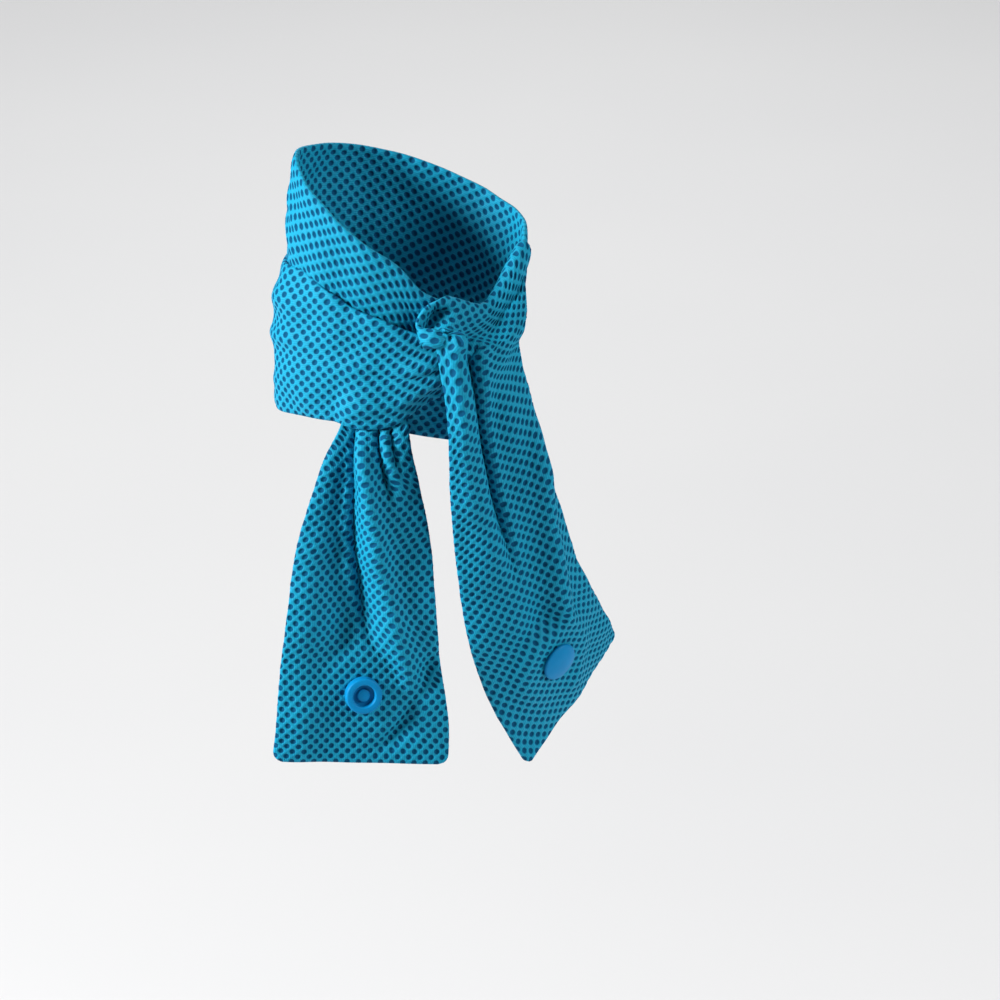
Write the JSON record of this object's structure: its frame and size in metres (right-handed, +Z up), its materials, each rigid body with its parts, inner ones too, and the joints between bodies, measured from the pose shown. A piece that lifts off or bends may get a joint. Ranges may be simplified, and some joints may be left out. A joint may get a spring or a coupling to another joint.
{
  "type": "cooling neck wrap",
  "caption": "Knitted mesh cooling wrap, wound round a wrist and tied in front, with hanging tails and a plastic snap near each end.",
  "frame": {"origin": "on the wrist's axis at the middle of the wound band, where the wrap sits on a wrist", "axes": "+Z up along the height of the worn wrap, with the tails hanging towards -Z; -Y is the front with the knot and tails; +X is to the right seen from the front"},
  "size_m": [0.105, 0.0825, 0.1895],
  "materials": {
    "cloth": "knitted polyester mesh with a close pattern of round eyelets",
    "snap": "moulded acetal, smooth with a soft gloss"
  },
  "bodies": {
    "root": {"cloth_strip": "cloth", "left_snap_cap": "snap", "left_snap_socket": "snap", "right_snap_cap": "snap", "right_snap_stud": "snap"}
  },
  "joints": []
}
